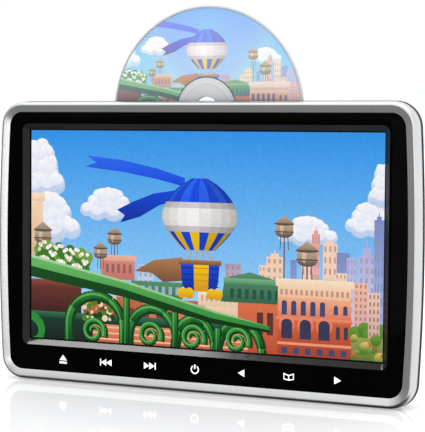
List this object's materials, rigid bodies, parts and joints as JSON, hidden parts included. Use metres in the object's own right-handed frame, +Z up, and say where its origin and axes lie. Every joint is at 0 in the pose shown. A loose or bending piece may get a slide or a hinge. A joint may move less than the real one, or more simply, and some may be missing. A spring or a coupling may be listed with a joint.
{
  "type": "portable disc player",
  "caption": "Slot-loading portable video disc player: black glossy face, bowed silver frame, recessed wide screen, disc half out of the top slot.",
  "frame": {"origin": "centre of the base that it stands on, half way between its front ridge and its back", "axes": "+X to the viewer's right, +Y from the screen towards the back, +Z up; the screen faces -Y"},
  "size_m": [0.2656, 0.03, 0.2237],
  "materials": {
    "gloss_black": "mirror gloss",
    "satin_silver": "satin",
    "black_shell": "fine texture",
    "display": "polished",
    "light_guide": "satin",
    "sheet_steel": "brushed",
    "board_green": "solder mask",
    "copper_pad": "satin",
    "chip_black": "matte",
    "smoked_plastic": "gloss",
    "aluminium_fin": "satin",
    "capacitor_sleeve": "gloss",
    "socket_steel": "bright",
    "black_plastic": "satin",
    "gold_plate": "bright",
    "speaker_black": "matte",
    "paper_cone": "matte",
    "felt": "felt",
    "rubber_black": "matte",
    "bright_steel": "polished",
    "black_screw": "black zinc",
    "brass": "knurled",
    "flex_amber": "gloss",
    "disc_clear": "polished",
    "natural_plastic": "satin",
    "deck_grey": "satin",
    "copper_coil": "lacquered",
    "lens_blue": "coated"
  },
  "bodies": {
    "housing": {"front_bezel": "gloss_black", "silver_frame": "satin_silver", "rear_cover": "black_shell", "lcd_frame": "sheet_steel", "lcd_glass": "display", "lcd_backlight": "light_guide", "chassis_plate": "sheet_steel", "touch_board": "board_green", "touch_pads": "copper_pad", "ir_receiver": "smoked_plastic", "main_board": "board_green", "main_chips": "chip_black", "heatsink": "aluminium_fin", "capacitors": "capacitor_sleeve", "hdmi_socket": "socket_steel", "usb_socket": "socket_steel", "card_socket": "socket_steel", "power_board": "board_green", "dc_inlet": "black_plastic", "headphone_jack": "black_plastic", "av_jack": "gold_plate", "switch_body": "socket_steel", "speaker_frames": "speaker_black", "speaker_cones": "paper_cone", "drive_tray": "sheet_steel", "drive_cover": "sheet_steel", "disc_guide": "black_plastic", "slot_felt": "felt", "roller_bushes": "natural_plastic", "gear_pin": "bright_steel", "loading_motor": "bright_steel", "motor_bracket": "sheet_steel", "drive_dampers": "rubber_black", "drive_screws": "bright_steel", "case_screws": "black_screw", "chassis_screws": "bright_steel", "board_screws": "bright_steel", "threaded_inserts": "brass", "rubber_feet": "rubber_black", "lcd_ribbon": "flex_amber", "touch_ribbon": "flex_amber"},
    "disc": {"disc": "disc_clear"},
    "roller": {"loading_roller": "rubber_black", "roller_shaft": "bright_steel", "roller_gear": "natural_plastic"},
    "reduction": {"reduction_gear": "natural_plastic"},
    "pinion": {"motor_pinion": "brass"},
    "deck": {"traverse_deck": "deck_grey", "guide_rods": "bright_steel", "spindle_stator": "copper_coil", "sled_motor": "bright_steel"},
    "turntable": {"turntable": "black_plastic", "turntable_pad": "rubber_black"},
    "clamper": {"clamper": "natural_plastic"},
    "pickup": {"pickup_sled": "deck_grey", "objective_lens": "lens_blue"},
    "screw": {"lead_screw": "bright_steel"},
    "cam": {"cam_slider": "natural_plastic"},
    "power_switch": {"switch_knob": "black_plastic"}
  },
  "joints": [
    {"name": "disc_slide", "type": "slide", "parent": "housing", "child": "disc", "axis": [0, 0, 1], "range_m": [-0.068, 0.054]},
    {"name": "roller_spin", "type": "hinge", "parent": "housing", "child": "roller", "pos_m": [0, 0.0041, 0.158], "axis": [1, 0, 0], "continuous": true},
    {"name": "reduction_spin", "type": "hinge", "parent": "housing", "child": "reduction", "pos_m": [0.0676, 0.0041, 0.151], "axis": [1, 0, 0], "continuous": true},
    {"name": "pinion_spin", "type": "hinge", "parent": "housing", "child": "pinion", "pos_m": [0.0696, 0.0041, 0.1425], "axis": [1, 0, 0], "continuous": true},
    {"name": "deck_lift", "type": "slide", "parent": "housing", "child": "deck", "axis": [0, -1, 0], "range_m": [0, 0.0019]},
    {"name": "cam_slide", "type": "slide", "parent": "housing", "child": "cam", "axis": [0, 0, 1], "range_m": [0, 0.0076]},
    {"name": "turntable_spin", "type": "hinge", "parent": "deck", "child": "turntable", "pos_m": [0, 0.004, 0.0955], "axis": [0, 1, 0], "continuous": true},
    {"name": "clamper_spin", "type": "hinge", "parent": "housing", "child": "clamper", "pos_m": [0, -0.002, 0.0955], "axis": [0, 1, 0], "continuous": true},
    {"name": "pickup_slide", "type": "slide", "parent": "deck", "child": "pickup", "axis": [0, 0, -1], "range_m": [0, 0.034]},
    {"name": "lead_screw_spin", "type": "hinge", "parent": "deck", "child": "screw", "pos_m": [0.03, 0.0049, 0.06], "axis": [0, 0, 1], "continuous": true},
    {"name": "power_slide", "type": "slide", "parent": "housing", "child": "power_switch", "axis": [0, 0, 1], "range_m": [0, 0.0025]}
  ],
  "couplings": [
    {"joint": "roller_spin", "follows": "disc_slide", "rad_per_m": -312.5},
    {"joint": "reduction_spin", "follows": "disc_slide", "rad_per_m": 416.67},
    {"joint": "pinion_spin", "follows": "disc_slide", "rad_per_m": -1000},
    {"joint": "cam_slide", "follows": "deck_lift", "ratio": 4},
    {"joint": "clamper_spin", "follows": "turntable_spin", "ratio": 1},
    {"joint": "lead_screw_spin", "follows": "pickup_slide", "rad_per_m": 2094.4}
  ]
}
